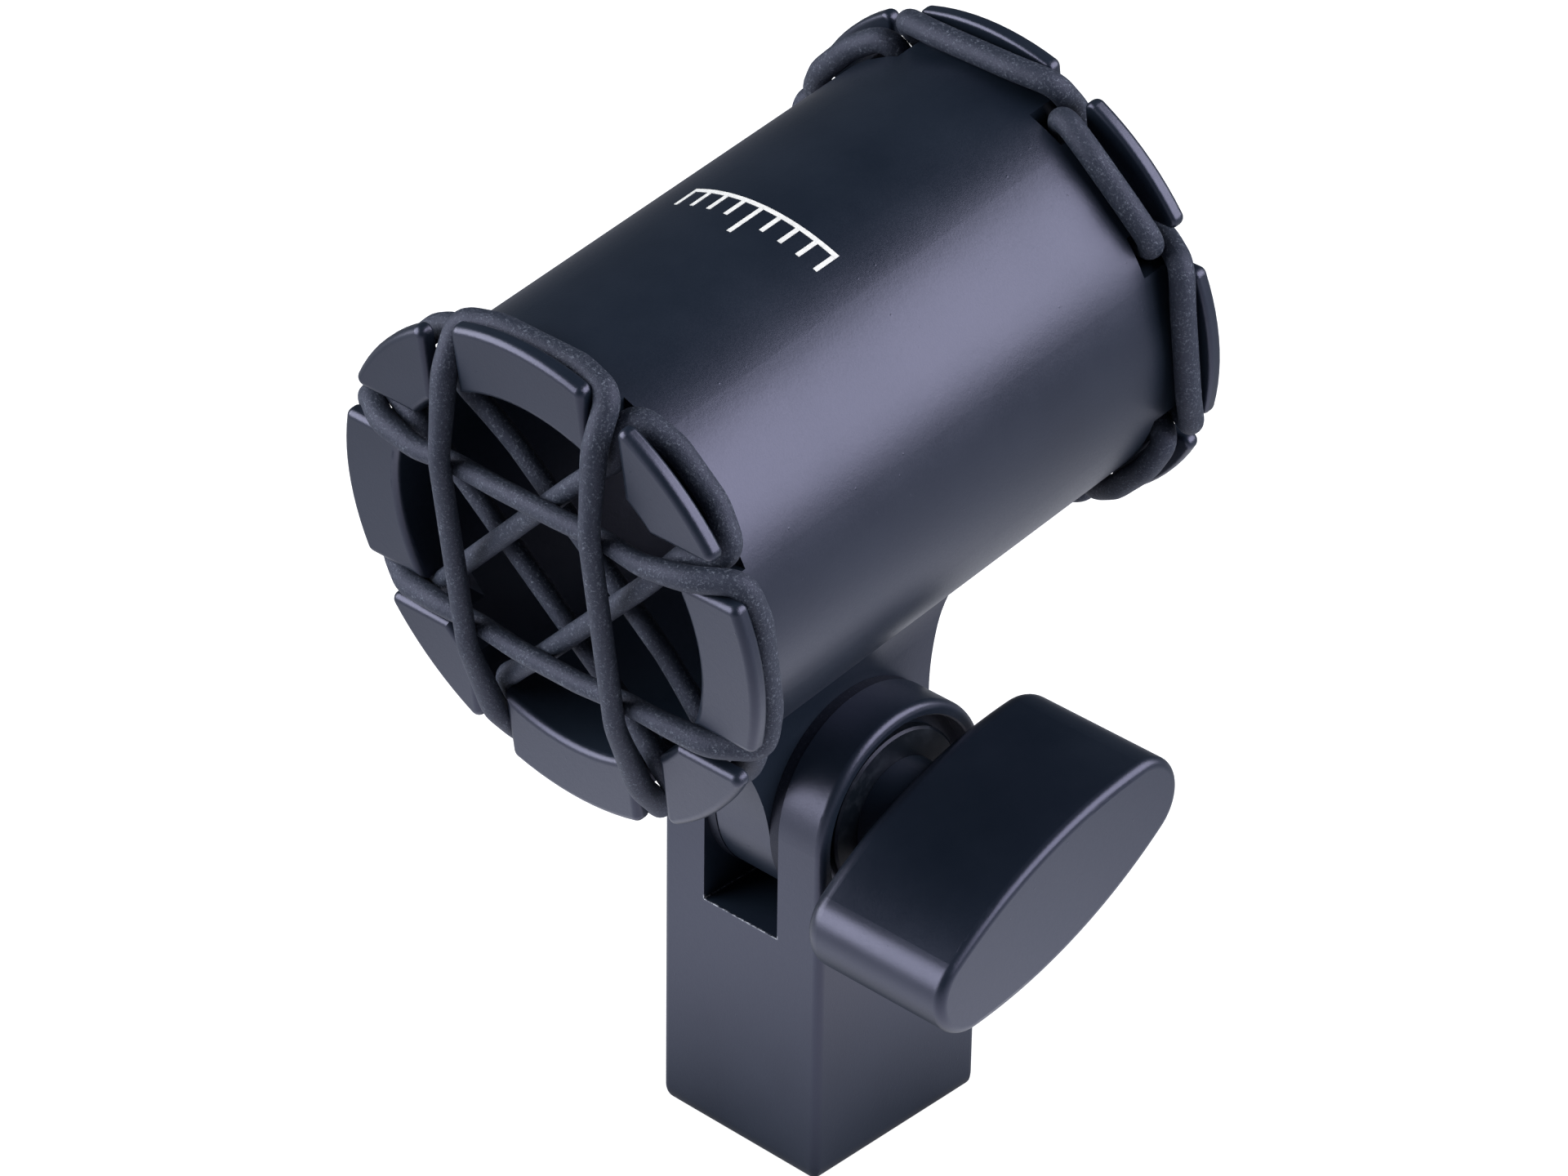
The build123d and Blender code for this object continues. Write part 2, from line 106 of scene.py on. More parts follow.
STRAIGHT_BELOW = radians(0.5)


def rounded_path(corners):
    """Points along a closed path whose corners are rounded by their own radius."""
    path = []
    for index, (corner, bend_radius) in enumerate(corners):
        incoming = (corner - corners[index - 1][0]).normalized()
        outgoing = (corners[(index + 1) % len(corners)][0] - corner).normalized()
        turn = incoming.angle(outgoing)
        if turn < STRAIGHT_BELOW:
            path.append(corner)
            continue
        centre = corner + (outgoing - incoming).normalized() * (bend_radius / cos(turn / 2))
        start = corner - incoming * (bend_radius * tan(turn / 2)) - centre
        axis = incoming.cross(outgoing).normalized()
        steps = max(2, round(turn / ARC_STEP))
        for step in range(steps + 1):
            path.append(centre + Matrix.Rotation(turn * step / steps, 3, axis) @ start)
    return path


def evenly_spaced(path, step):
    """The closed path again, with points at equal distances."""
    lengths = [(path[(index + 1) % len(path)] - point).length for index, point in enumerate(path)]
    count = round(sum(lengths) / step)
    spacing = sum(lengths) / count
    points = []
    index, passed = 0, 0.0
    for number in range(count):
        wanted = number * spacing
        while passed + lengths[index] < wanted:
            passed += lengths[index]
            index += 1
        share = (wanted - passed) / lengths[index]
        points.append(path[index].lerp(path[(index + 1) % len(path)], share))
    return points


def smoothed(path, passes):
    """The closed path with the joins between its arcs and lines eased."""
    for _ in range(passes):
        path = [
            path[index - 1] * 0.25 + point * 0.5 + path[(index + 1) % len(path)] * 0.25
            for index, point in enumerate(path)
        ]
    return path


def ring_path(kind):
    """The centre line of one ring in its ring frame, in millimetres."""
    quarter = QUARTER_RINGS[kind]
    turn = Matrix.Rotation(radians(RING_TURNS[kind]), 3, "Y")
    corners = []
    for side, end in ((1, 1), (-1, 1), (-1, -1), (1, -1)):
        outwards = quarter if side == end else quarter[::-1]
        for across, depth, along, bend_radius in outwards:
            corners.append((turn @ Vector((side * across, depth, end * along)), bend_radius))
    return smoothed(evenly_spaced(rounded_path(corners), PATH_STEP), SMOOTHING_PASSES)


def tube_sections(path):
    """For each point of a closed path, the unit directions round it, carried without twist."""
    count = len(path)
    tangents = [(path[(index + 1) % count] - path[index - 1]).normalized() for index in range(count)]
    normal = tangents[0].orthogonal().normalized()
    normals = [normal]
    for index in range(1, count + 1):
        turn = tangents[index - 1].rotation_difference(tangents[index % count])
        normal = turn @ normal
        normals.append(normal)
    closing = tangents[0]
    drift = atan2(normals[count].cross(normals[0]).dot(closing), normals[count].dot(normals[0]))
    sections = []
    for index in range(count):
        untwist = Matrix.Rotation(drift * index / count, 3, tangents[index])
        first = untwist @ normals[index]
        second = tangents[index].cross(first)
        sections.append([
            first * cos(2 * pi * side / CORD_SIDES) + second * sin(2 * pi * side / CORD_SIDES)
            for side in range(CORD_SIDES)
        ])
    return sections


def cord_radius(centre):
    """The cord's own radius at a place on its centre line."""
    from_axis = Vector((centre.x, centre.z)).length
    share = min(1, max(0, (from_axis - THIN_WITHIN) / (THICK_BEYOND - THIN_WITHIN)))
    return SPAN_RADIUS + (WRAP_RADIUS - SPAN_RADIUS) * share * share * (3 - 2 * share)


def pressed_reach(centre, direction, trees):
    """How far the cord's surface lies from its centre line where other cords press on it."""
    reach = cord_radius(centre)
    for tree in trees:
        _, _, gap = tree.find(centre)
        if gap > PRESS_SEARCH:
            continue
        for _ in range(PRESS_PASSES):
            _, _, other = tree.find(centre + direction * reach)
            if other >= reach + PRESS_GAP:
                break
            reach -= (reach + PRESS_GAP - other) / 2
    return reach


def ring_mesh(name, path, trees, to_row):
    """A closed tube along the path, flattened where other cords press on it."""
    mesh = bpy.data.meshes.new(name)
    count = len(path)
    vertices = []
    for centre, section in zip(path, tube_sections(path)):
        for direction in section:
            reach = pressed_reach(centre, direction, trees)
            vertices.append(to_row @ ((centre + direction * reach) * MM))
    faces = []
    for index in range(count):
        after = (index + 1) % count
        for side in range(CORD_SIDES):
            beside = (side + 1) % CORD_SIDES
            faces.append((
                index * CORD_SIDES + side, after * CORD_SIDES + side,
                after * CORD_SIDES + beside, index * CORD_SIDES + beside,
            ))
    mesh.from_pydata(vertices, [], faces)
    return mesh


def end_frame(end):
    """The matrix from one end's ring frame to the row frame."""
    turn = 1 if end == "front" else -1
    matrix = Matrix((ACROSS * turn, ALONG * turn, UP)).transposed().to_4x4()
    matrix.translation = SLEEVE_CENTRE - ALONG * (HALF_SLEEVE * turn)
    return matrix


def add_piece(name, mesh, body, material):
    """Links a mesh as a smooth piece that rides on a body."""
    work = bmesh.new()
    work.from_mesh(mesh)
    bmesh.ops.recalc_face_normals(work, faces=work.faces)
    work.to_mesh(mesh)
    work.free()
    for polygon in mesh.polygons:
        polygon.use_smooth = True
    mesh.materials.append(material)
    piece = bpy.data.objects.new(name, mesh)
    bpy.context.scene.collection.objects.link(piece)
    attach(piece, body)
    return piece


def add_rings(material):
    """The web of four rings at each end."""
    paths = {kind: ring_path(kind) for kind in RING_TURNS}
    trees = {}
    for kind, path in paths.items():
        trees[kind] = KDTree(len(path))
        for index, point in enumerate(path):
            trees[kind].insert(point, index)
        trees[kind].balance()
    for end in ("front", "rear"):
        for kind, path in paths.items():
            others = [tree for other, tree in trees.items() if other != kind]
            mesh = ring_mesh(f"{end}_cord_{kind}", path, others, end_frame(end))
            ring = add_piece(mesh.name, mesh, "cradle", material)
            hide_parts(f"{end}_band_{kind}")


# ---- Threaded insert -----------------------------------------------------------------

THREAD_PITCH = 25.4 / 27
THREAD_DEPTH = 0.51
THREAD_CREST = 0.12        # share of a half pitch that the flat crest takes
THREAD_FLANK = 0.66        # share of a half pitch that the sloping flank takes
THREAD_STEPS = 10          # along one pitch
THREAD_SIDES = 96
INSERT_CHAMFER = 0.5


def thread_radius(minor_radius, height, angle):
    """The inside radius of a 60 degree thread with flat crests and roots."""
    phase = height / THREAD_PITCH - angle / (2 * pi)
    wave = abs(2 * (phase - floor(phase)) - 1)
    return minor_radius + THREAD_DEPTH * min(1, max(0, (wave - THREAD_CREST) / THREAD_FLANK))


def add_thread_insert(material):
    """The brass socket of the stem with its real stand thread."""
    low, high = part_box("thread_insert")
    length = (high.z - low.z) / MM
    outer_radius = (high.x - low.x) / 2 / MM
    minor_radius = mounts["stand_thread"]["dims"]["r_mm"]
    rows = round(length / THREAD_PITCH * THREAD_STEPS)
    profile = []
    for row in range(rows + 1):
        height = length * row / rows
        lead_in = max(0, INSERT_CHAMFER - height) + max(0, INSERT_CHAMFER - (length - height))
        profile.append((height, lead_in, None))
    profile += [
        (length, 0, outer_radius - INSERT_CHAMFER), (length - INSERT_CHAMFER, 0, outer_radius),
        (INSERT_CHAMFER, 0, outer_radius), (0, 0, outer_radius - INSERT_CHAMFER),
    ]
    vertices = []
    for height, lead_in, plain_radius in profile:
        for side in range(THREAD_SIDES):
            angle = 2 * pi * side / THREAD_SIDES
            threaded = max(thread_radius(minor_radius, height, angle), minor_radius + lead_in)
            radius = plain_radius or threaded
            place = Vector((radius * cos(angle), radius * sin(angle), height))
            vertices.append(place * MM + Vector((0, 0, low.z)))
    faces = []
    for row in range(len(profile)):
        after = (row + 1) % len(profile)
        for side in range(THREAD_SIDES):
            beside = (side + 1) % THREAD_SIDES
            faces.append((
                row * THREAD_SIDES + side, row * THREAD_SIDES + beside,
                after * THREAD_SIDES + beside, after * THREAD_SIDES + side,
            ))
    mesh = bpy.data.meshes.new("threaded_socket")
    mesh.from_pydata(vertices, [], faces)
    socket = add_piece(mesh.name, mesh, "stem", material)
    socket.data.shade_flat()
    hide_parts("thread_insert")


# ---- Printed index mark ----------------------------------------------------------------

MARK_SPAN = 46.0                   # length round the tube, in degrees
MARK_BAR_WIDTH = 0.55
MARK_TICKS = 9
MARK_TICK_LENGTH = 2.6
MARK_LONG_TICK_LENGTH = 4.6
MARK_TICK_WIDTH = 0.5
MARK_TICK_GAP = 0.02               # between the bar and its ticks, too small to see
MARK_HEIGHT = 0.03                 # above the tube
MARK_ROOT = 0.04                   # below the tube's surface
TUBE_RADIUS = 24.08


def add_index_mark(material):
    """A plain graduated index, printed on top of the tube as thin ink."""
    work = bmesh.new()

    def patch(start_angle, end_angle, start, end):
        """A thin curved slab between two angles round the tube and two places along it."""
        steps = max(2, round((end_angle - start_angle) / 1.0))
        loops = []
        for step in range(steps + 1):
            angle = radians(start_angle + (end_angle - start_angle) * step / steps)
            outwards = ACROSS * cos(angle) + UP * sin(angle)
            loops.append([
                work.verts.new(SLEEVE_CENTRE + outwards * (TUBE_RADIUS + radius) * MM + ALONG * place * MM)
                for radius, place in (
                    (MARK_HEIGHT, start), (MARK_HEIGHT, end), (-MARK_ROOT, end), (-MARK_ROOT, start),
                )
            ])
        for before, after in zip(loops, loops[1:]):
            for side in range(4):
                work.faces.new((before[side], after[side], after[side - 1], before[side - 1]))
        work.faces.new(loops[0])
        work.faces.new(loops[-1][::-1])

    half_turn = MARK_SPAN / 2
    patch(90 - half_turn, 90 + half_turn, -MARK_BAR_WIDTH / 2, MARK_BAR_WIDTH / 2)
    half_tick = degrees(MARK_TICK_WIDTH / TUBE_RADIUS / 2)
    for tick in range(MARK_TICKS):
        middle = 90 + (half_turn - half_tick) * (2 * tick / (MARK_TICKS - 1) - 1)
        length = MARK_LONG_TICK_LENGTH if tick == MARK_TICKS // 2 else MARK_TICK_LENGTH
        root = -MARK_BAR_WIDTH / 2 - MARK_TICK_GAP
        tip = -MARK_BAR_WIDTH / 2 - length
        patch(middle - half_tick, middle + half_tick, tip, root)
    mesh = bpy.data.meshes.new("printed_index")
    work.to_mesh(mesh)
    work.free()
    piece = add_piece(mesh.name, mesh, "cradle", material)
    piece.data.shade_flat()


# ---- Materials -----------------------------------------------------------------------

BEVEL_SAMPLES = 6
EDGE_STARTS = 0.96                 # cosine between the true normal and the rounded one where
EDGE_FULL = 0.80                   # an edge starts to show, and where it shows fully


class Nodes:
    """A short way to write a material's node tree."""

    def __init__(self, name):
        self.material = bpy.data.materials.new(name)
        self.material.use_nodes = True
        self.tree = self.material.node_tree
        self.tree.nodes.clear()
        self.place = self.add("ShaderNodeTexCoord").outputs["Object"]

    def add(self, kind, **inputs):
        """A new node, with its sockets set to values or linked to other sockets."""
        node = self.tree.nodes.new(kind)
        for name, value in inputs.items():
            self.feed(node.inputs[name.replace("_", " ")], value)
        return node

    def feed(self, socket, value):
        """Links a socket to another node's output, or sets it to a plain value."""
        if isinstance(value, bpy.types.NodeSocket):
            self.tree.links.new(value, socket)
        else:
            socket.default_value = value

    def noise(self, size_mm, detail=3.0, roughness=0.55):
        """Noise between 0 and 1 whose features are about this large."""
        noise = self.add(
            "ShaderNodeTexNoise", Vector=self.place, Scale=1 / (size_mm * MM), Detail=detail,
            Roughness=roughness,
        )
        return noise.outputs["Fac"]

    def specks(self, spacing_mm, size):
        """Sparse round specks: 1 in the middle of a speck and 0 away from it.

        The size is a speck's radius as a share of the spacing.
        """
        cells = self.add("ShaderNodeTexVoronoi", Vector=self.place, Scale=1 / (spacing_mm * MM))
        return self.remap(cells.outputs["Distance"], size, 0.0)

    def remap(self, value, from_low, from_high, to_low=0.0, to_high=1.0):
        """The value moved from one range to another and held inside it."""
        node = self.add("ShaderNodeMapRange", Value=value)
        for name, number in zip(
            ("From Min", "From Max", "To Min", "To Max"), (from_low, from_high, to_low, to_high)
        ):
            node.inputs[name].default_value = number
        return node.outputs["Result"]

    def math(self, operation, first, second=0.0):
        node = self.tree.nodes.new("ShaderNodeMath")
        node.operation = operation
        self.feed(node.inputs[0], first)
        self.feed(node.inputs[1], second)
        return node.outputs[0]

    def mix(self, share, first, second):
        """A colour between two colours."""
        node = self.tree.nodes.new("ShaderNodeMix")
        node.data_type = "RGBA"
        self.feed(node.inputs["Factor"], share)
        self.feed(node.inputs["A"], first)
        self.feed(node.inputs["B"], second)
        return node.outputs["Result"]

    def bump(self, height, depth_mm, below=None):
        """A bumped normal from a height between 0 and 1, on top of another bump."""
        node = self.add("ShaderNodeBump", Height=height, Strength=1.0, Distance=depth_mm * MM)
        if below:
            self.tree.links.new(below, node.inputs["Normal"])
        return node.outputs["Normal"]

    def edges(self, radius_mm):
        """1 on sharp edges and 0 on flat or gently curved surfaces."""
        rounded = self.add("ShaderNodeBevel", Radius=radius_mm * MM)
        rounded.samples = BEVEL_SAMPLES
        plain = self.add("ShaderNodeNewGeometry")
        dot = self.tree.nodes.new("ShaderNodeVectorMath")
        dot.operation = "DOT_PRODUCT"
        self.tree.links.new(rounded.outputs["Normal"], dot.inputs[0])
        self.tree.links.new(plain.outputs["Normal"], dot.inputs[1])
        return self.remap(dot.outputs["Value"], EDGE_STARTS, EDGE_FULL)

    def near_height(self, height, full_mm, none_mm):
        """1 near this height in metres, fading to 0 further above and below it."""
        level = self.add("ShaderNodeSeparateXYZ", Vector=self.place).outputs["Z"]
        away = self.math("ABSOLUTE", self.math("SUBTRACT", level, height))
        return self.remap(away, none_mm * MM, full_mm * MM)

    def between(self, share, first, second):
        """A shader between two shaders."""
        node = self.tree.nodes.new("ShaderNodeMixShader")
        self.feed(node.inputs["Fac"], share)
        self.tree.links.new(first, node.inputs[1])
        self.tree.links.new(second, node.inputs[2])
        return node.outputs["Shader"]

    def output(self, shader):
        """The finished material, which shows this shader."""
        output = self.add("ShaderNodeOutputMaterial")
        self.tree.links.new(shader, output.inputs["Surface"])
        return self.material

    def finish(self, **inputs):
        """The finished material, with one plain surface shader."""
        return self.output(self.add("ShaderNodeBsdfPrincipled", **inputs).outputs["BSDF"])


SPECULAR_TINT = (0.74, 0.73, 1.0, 1.0)
PAINT_DARK = (0.0045, 0.0085, 0.0150, 1.0)
PAINT_LIGHT = (0.0080, 0.0130, 0.0210, 1.0)
PAINT_WORN = (0.16, 0.17, 0.20, 1.0)
# Pale colour painted as glints of light along the edges at the slot floor's height.
PAINTED_GLINT = (0.55, 0.57, 0.62, 1.0)
PAINT_UNEVEN = 0.03                # how far the roughness strays either way
SLOT_DEPTH = 12.3                  # from the hinge down to the floor of the stem's slot
RUBBER_DARK = (0.010, 0.015, 0.023, 1.0)
RUBBER_LIGHT = (0.150, 0.170, 0.205, 1.0)
FIBRE_DARK = (0.003, 0.005, 0.009, 1.0)
FIBRE_LIGHT = (0.012, 0.016, 0.024, 1.0)
COATING_DARK = (0.004, 0.006, 0.009, 1.0)
COATING_RUBBED = (0.012, 0.015, 0.020, 1.0)
INK_THIN = (0.60, 0.60, 0.57, 1.0)
INK_FULL = (0.80, 0.80, 0.76, 1.0)
STEEL = (0.10, 0.10, 0.115, 1.0)
STEEL_DULL = (0.05, 0.05, 0.058, 1.0)
BRASS = (0.72, 0.50, 0.22, 1.0)
BRASS_DULL = (0.45, 0.30, 0.12, 1.0)
BRONZE = (0.50, 0.31, 0.17, 1.0)
BRONZE_DULL = (0.28, 0.17, 0.09, 1.0)


def satin_paint(name, roughness, reflection, relief=1.0, painted_glint_height=None):
    """Black satin paint: fine grain, dust nibs, thin worn edges, and painted glints along one level edge."""
    n = Nodes(name)
    cloud = n.noise(14.0, detail=4.0)
    grain = n.noise(0.22, detail=2.0)
    nibs = n.specks(2.6, size=0.055)
    edges = n.edges(0.35)
    wear = n.math("MULTIPLY", edges, n.remap(n.noise(1.3, detail=5.0, roughness=0.7), 0.60, 0.72))
    colour = n.mix(n.remap(cloud, 0.3, 0.7), PAINT_DARK, PAINT_LIGHT)
    colour = n.mix(n.math("MULTIPLY", wear, 0.8), colour, PAINT_WORN)
    # Painted glints: pale specks along the edges at this height, standing in for highlights.
    if painted_glint_height:
        painted_glints = n.remap(n.noise(0.7, detail=5.0, roughness=0.8), 0.44, 0.56)
        painted_glints = n.math("MULTIPLY", painted_glints, n.near_height(painted_glint_height, full_mm=0.25, none_mm=0.55))
        colour = n.mix(n.math("MULTIPLY", edges, painted_glints), colour, PAINTED_GLINT)
    clouded = n.remap(cloud, 0.3, 0.7, roughness - PAINT_UNEVEN, roughness + PAINT_UNEVEN)
    rough = n.math("ADD", clouded, n.remap(grain, 0.3, 0.7, -PAINT_UNEVEN, PAINT_UNEVEN))
    normal = n.bump(grain, 0.008 * relief)
    normal = n.bump(n.noise(0.9, detail=2.0), 0.010 * relief, normal)
    normal = n.bump(nibs, 0.02, normal)
    return n.finish(
        Base_Color=colour, Roughness=rough, Normal=normal, Specular_IOR_Level=reflection,
        Specular_Tint=SPECULAR_TINT,
    )


def cord_rubber():
    """Matt black rubber, finely pitted, with pale dust in its grain."""
    n = Nodes("cord_rubber")
    grain = n.noise(0.28, detail=4.0, roughness=0.8)
    patches = n.remap(n.noise(2.2), 0.35, 0.65, 0.35, 1.0)
    dust = n.math("MULTIPLY", n.remap(grain, 0.53, 0.68), patches)
    colour = n.mix(dust, RUBBER_DARK, RUBBER_LIGHT)
    normal = n.bump(grain, 0.075)
    normal = n.bump(n.noise(0.7, detail=2.0), 0.05, normal)
    return n.finish(
        Base_Color=colour, Roughness=n.remap(grain, 0.3, 0.7, 0.50, 0.72), Normal=normal,
        Specular_IOR_Level=0.55, Specular_Tint=SPECULAR_TINT,
    )


def bare_metal(name, colour, dull_colour, roughness):
    """Machined metal with fine turning marks and a dull, rougher film in patches."""
    n = Nodes(name)
    film = n.remap(n.noise(2.5, detail=5.0, roughness=0.6), 0.4, 0.65)
    marks = n.noise(0.25, detail=2.0)
    shade = n.mix(film, colour, dull_colour)
    filmed = n.remap(film, 0.0, 1.0, roughness, roughness + 0.12)
    rough = n.math("ADD", filmed, n.remap(marks, 0.3, 0.7, -0.05, 0.05))
    return n.finish(Base_Color=shade, Metallic=1.0, Roughness=rough, Normal=n.bump(marks, 0.01))


def friction_fibre():
    """Pressed black fibre with short grey hairs."""
    n = Nodes("friction_fibre")
    hairs = n.remap(n.noise(0.35, detail=5.0, roughness=0.8), 0.55, 0.75)
    return n.finish(
        Base_Color=n.mix(hairs, FIBRE_DARK, FIBRE_LIGHT), Roughness=0.5, Normal=n.bump(hairs, 0.02),
        Specular_IOR_Level=0.3, Specular_Tint=SPECULAR_TINT,
    )


def black_phosphate():
    """Matt black coated steel with faint lighter rubs."""
    n = Nodes("black_phosphate")
    rubs = n.remap(n.noise(1.6, detail=5.0, roughness=0.6), 0.5, 0.7)
    return n.finish(
        Base_Color=n.mix(rubs, COATING_DARK, COATING_RUBBED), Roughness=n.remap(rubs, 0.0, 1.0, 0.38, 0.46),
        Normal=n.bump(n.noise(0.2, detail=2.0), 0.006), Specular_IOR_Level=0.25,
        Specular_Tint=SPECULAR_TINT,
    )


def printing_ink():
    """White screen-printing ink, a little uneven."""
    n = Nodes("index_ink")
    patchy = n.noise(0.5, detail=4.0, roughness=0.7)
    colour = n.mix(n.remap(patchy, 0.3, 0.7), INK_THIN, INK_FULL)
    return n.finish(Base_Color=colour, Roughness=0.55, Normal=n.bump(patchy, 0.01))


def finish_cad_nodes(finishes):
    """Puts a material on each CAD node that stays in view."""
    for node, material in finishes.items():
        mesh = frame["nodes"][node].data
        mesh.materials.clear()
        mesh.materials.append(material)


# ---- Studio --------------------------------------------------------------------------

CAMERA_AZIMUTH = radians(43.007)
CAMERA_ELEVATION = radians(32.110)
CAMERA_ROLL = radians(0.829)
CAMERA_DISTANCE = 664.57           # from the camera to the hinge's depth, in millimetres
HINGE_RIGHT_OF_AXIS = 4.115
HINGE_BELOW_AXIS = 18.62
CAMERA_LENS = 149.61
CAMERA_SENSOR = 36                 # wide
CAMERA_NEAREST = 0.01              # in metres


def add_camera():
    """The camera, placed by where it sees the hinge."""
    back = Vector((
        sin(CAMERA_AZIMUTH) * cos(CAMERA_ELEVATION), -cos(CAMERA_AZIMUTH) * cos(CAMERA_ELEVATION),
        sin(CAMERA_ELEVATION),
    ))
    level_right = Vector((cos(CAMERA_AZIMUTH), sin(CAMERA_AZIMUTH), 0))
    level_up = back.cross(level_right)
    right = level_right * cos(CAMERA_ROLL) + level_up * sin(CAMERA_ROLL)
    up = level_up * cos(CAMERA_ROLL) - level_right * sin(CAMERA_ROLL)
    data = bpy.data.cameras.new("camera")
    data.sensor_width = CAMERA_SENSOR
    data.lens = CAMERA_LENS
    data.clip_start = CAMERA_NEAREST
    camera = bpy.data.objects.new("camera", data)
    bpy.context.scene.collection.objects.link(camera)
    matrix = Matrix((right, up, back)).transposed().to_4x4()
    matrix.translation = HINGE + MM * (
        back * CAMERA_DISTANCE - right * HINGE_RIGHT_OF_AXIS + up * HINGE_BELOW_AXIS
    )
    camera.matrix_world = matrix
    bpy.context.scene.camera = camera


SOFTBOX_DISTANCE = 0.60            # from the sleeve's middle, in metres


def add_softbox(name, direction, width, height, radiance, tint):
    """A rectangular area light that faces the sleeve, in metres, given by its radiance."""
    towards = Vector(direction).normalized()
    data = bpy.data.lights.new(name, "AREA")
    data.shape = "RECTANGLE"
    data.size = width
    data.size_y = height
    data.energy = radiance * pi * width * height
    data.color = tint
    light = bpy.data.objects.new(name, data)
    bpy.context.scene.collection.objects.link(light)
    light.location = SLEEVE_CENTRE + towards * SOFTBOX_DISTANCE
    light.rotation_mode = "QUATERNION"
    light.rotation_quaternion = towards.to_track_quat("Z", "Y")


FLOOR_GLOW = 0.90
FLOOR_DARK = (0.30, 0.30, 0.31, 1.0)
FLOOR_LIGHT = (0.33, 0.33, 0.34, 1.0)
FLOOR_HALF_WIDTH = 6.0             # in metres
FLOOR_GAP = 0.0001                 # under the stem, in metres
# What reflections see of the floor is painted light: a painted shadow at the foot, a painted bright ring round it
# and painted shade behind the stem.
PAINTED_REFLECTION_TINT = (0.93, 0.95, 1.04, 1.0)
PAINTED_SHADOW_AT_FOOT = 0.25
PAINTED_REFLECTION_CHANGES = [              # start and end from the stem's axis, and the change in the painted glow
    (14, 45, 1.45), (60, 140, -0.8), (140, 600, -0.6),
]
PAINTED_SHADE_BEHIND_START, PAINTED_SHADE_BEHIND_END = -20, 40     # y minus x, over which the painted reflection grows dimmer: painted shade behind the stem
PAINTED_SHADE_BEHIND_SHARE = 0.5                 # what is left of the painted glow beyond that


def floor_material():
    """A pale glowing floor to the camera. Reflections see painted light instead: a painted shadow at the foot, a
    painted bright ring round it fading away, and painted shade behind the stem.
    """
    n = Nodes("floor")
    tone = n.mix(n.remap(n.noise(300.0), 0.3, 0.7), FLOOR_DARK, FLOOR_LIGHT)
    seen = n.add(
        "ShaderNodeBsdfPrincipled", Base_Color=tone, Roughness=0.8,
        Emission_Color=(1.0, 1.0, 1.0, 1.0), Emission_Strength=FLOOR_GLOW,
    )
    split = n.add("ShaderNodeSeparateXYZ", Vector=n.place)
    x, y = split.outputs["X"], split.outputs["Y"]
    away = n.math("SQRT", n.math("ADD", n.math("MULTIPLY", x, x), n.math("MULTIPLY", y, y)))
    # Painted reflection: a painted shadow at the foot and a painted bright ring round it, fading further away.
    painted_glow = PAINTED_SHADOW_AT_FOOT
    for start, end, change in PAINTED_REFLECTION_CHANGES:
        painted_glow = n.math("ADD", n.remap(away, start * MM, end * MM, 0.0, change), painted_glow)
    # Painted shade behind the stem, seen only in reflections.
    painted_shade_behind = n.remap(n.math("SUBTRACT", y, x), PAINTED_SHADE_BEHIND_START * MM, PAINTED_SHADE_BEHIND_END * MM, 1.0, PAINTED_SHADE_BEHIND_SHARE)
    painted_reflection = n.add("ShaderNodeEmission", Color=PAINTED_REFLECTION_TINT, Strength=n.math("MULTIPLY", painted_glow, painted_shade_behind))
    seen_by_camera = n.add("ShaderNodeLightPath").outputs["Is Camera Ray"]
    return n.output(n.between(seen_by_camera, painted_reflection.outputs["Emission"], seen.outputs["BSDF"]))


def add_floor():
    """A wide pale floor under the stem."""
    low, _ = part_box("stem_block")
    mesh = bpy.data.meshes.new("floor")
    height = low.z - FLOOR_GAP
    vertices = [
        (x * FLOOR_HALF_WIDTH, y * FLOOR_HALF_WIDTH, height) for x, y in ((-1, -1), (1, -1), (1, 1), (-1, 1))
    ]
    mesh.from_pydata(vertices, [], [(0, 1, 2, 3)])
    mesh.materials.append(floor_material())
    floor_piece = bpy.data.objects.new("floor", mesh)
    bpy.context.scene.collection.objects.link(floor_piece)


ROOM_TINT = (0.80, 0.88, 1.0, 1.0)
ROOM_STRENGTH = 0.09


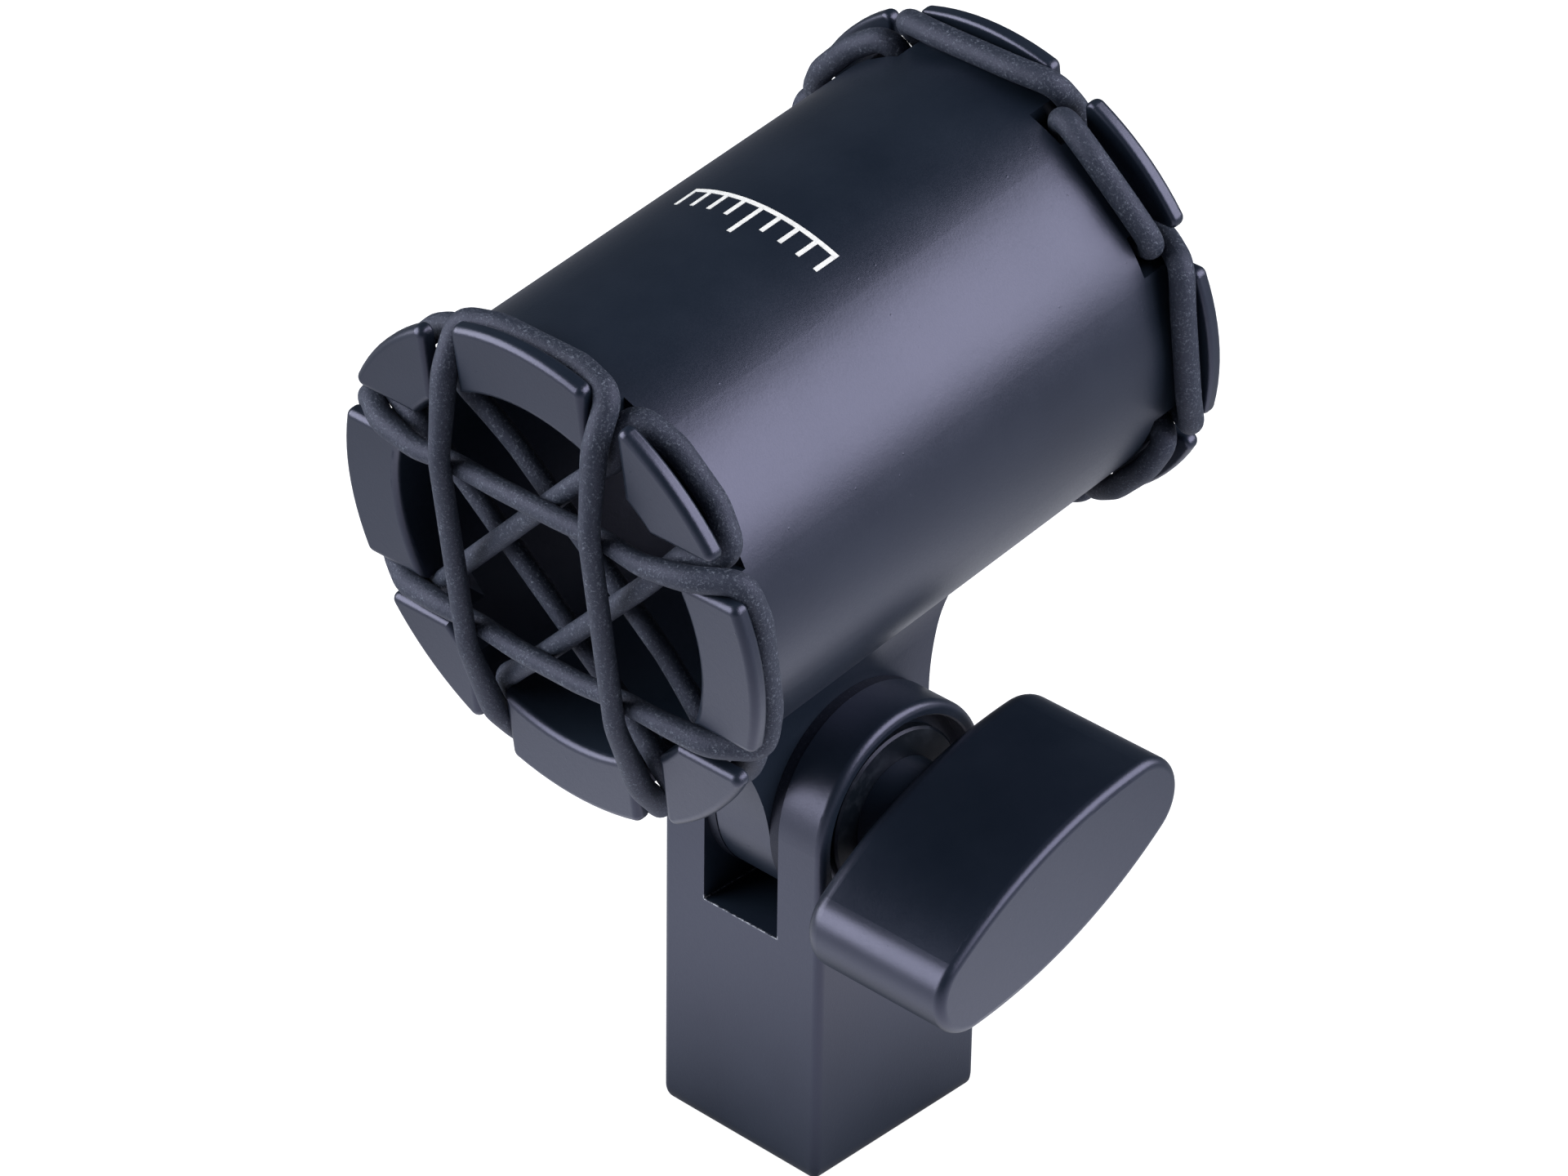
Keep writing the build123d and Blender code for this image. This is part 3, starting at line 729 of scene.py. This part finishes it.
def add_world():
    """White to the camera; a dim cool room to everything it lights."""
    world = bpy.data.worlds.new("studio")
    bpy.context.scene.world = world
    world.use_nodes = True
    tree = world.node_tree
    tree.nodes.clear()
    seen = tree.nodes.new("ShaderNodeBackground")
    seen.inputs["Color"].default_value = (1.0, 1.0, 1.0, 1.0)
    room = tree.nodes.new("ShaderNodeBackground")
    room.inputs["Color"].default_value = ROOM_TINT
    room.inputs["Strength"].default_value = ROOM_STRENGTH
    mix = tree.nodes.new("ShaderNodeMixShader")
    path = tree.nodes.new("ShaderNodeLightPath")
    output = tree.nodes.new("ShaderNodeOutputWorld")
    tree.links.new(path.outputs["Is Camera Ray"], mix.inputs["Fac"])
    tree.links.new(room.outputs["Background"], mix.inputs[1])
    tree.links.new(seen.outputs["Background"], mix.inputs[2])
    tree.links.new(mix.outputs["Shader"], output.inputs["Surface"])


# ---- Build ---------------------------------------------------------------------------

sleeve_paint = satin_paint("sleeve_paint", roughness=0.36, reflection=0.66)
# The stem's paint carries painted glints along the edges at the slot floor's height.
stem_paint = satin_paint(
    "stem_paint", roughness=0.36, reflection=0.66, painted_glint_height=HINGE.z - SLOT_DEPTH * MM
)
knob_paint = satin_paint("knob_paint", roughness=0.36, reflection=0.66, relief=0.5)
steel = bare_metal("dark_steel", STEEL, STEEL_DULL, roughness=0.30)
brass = bare_metal("brass", BRASS, BRASS_DULL, roughness=0.24)
bronze = bare_metal("bush_bronze", BRONZE, BRONZE_DULL, roughness=0.32)
fibre = friction_fibre()

finish_cad_nodes({
    "stem_block": stem_paint, "pivot_bolt": steel, "friction_disc_left": fibre,
    "friction_disc_right": fibre, "thrust_washer": black_phosphate(), "thumb_knob": knob_paint,
    "knob_insert": brass, "sleeve_body": sleeve_paint, "tilt_lug": sleeve_paint,
    "lug_screws": steel, "pivot_bush": bronze,
})
add_rings(cord_rubber())
add_thread_insert(brass)
add_index_mark(printing_ink())

add_camera()
add_floor()
add_world()
add_softbox("key", (0.708, 0.46, 0.536), width=0.75, height=0.54, radiance=6.0, tint=(0.93, 0.93, 1.0))
add_softbox(
    "fill", (-0.655, -0.672, 0.342), width=0.60, height=0.56, radiance=7.0, tint=(0.93, 0.95, 1.0)
)
bpy.context.scene.view_settings.view_transform = "Standard"
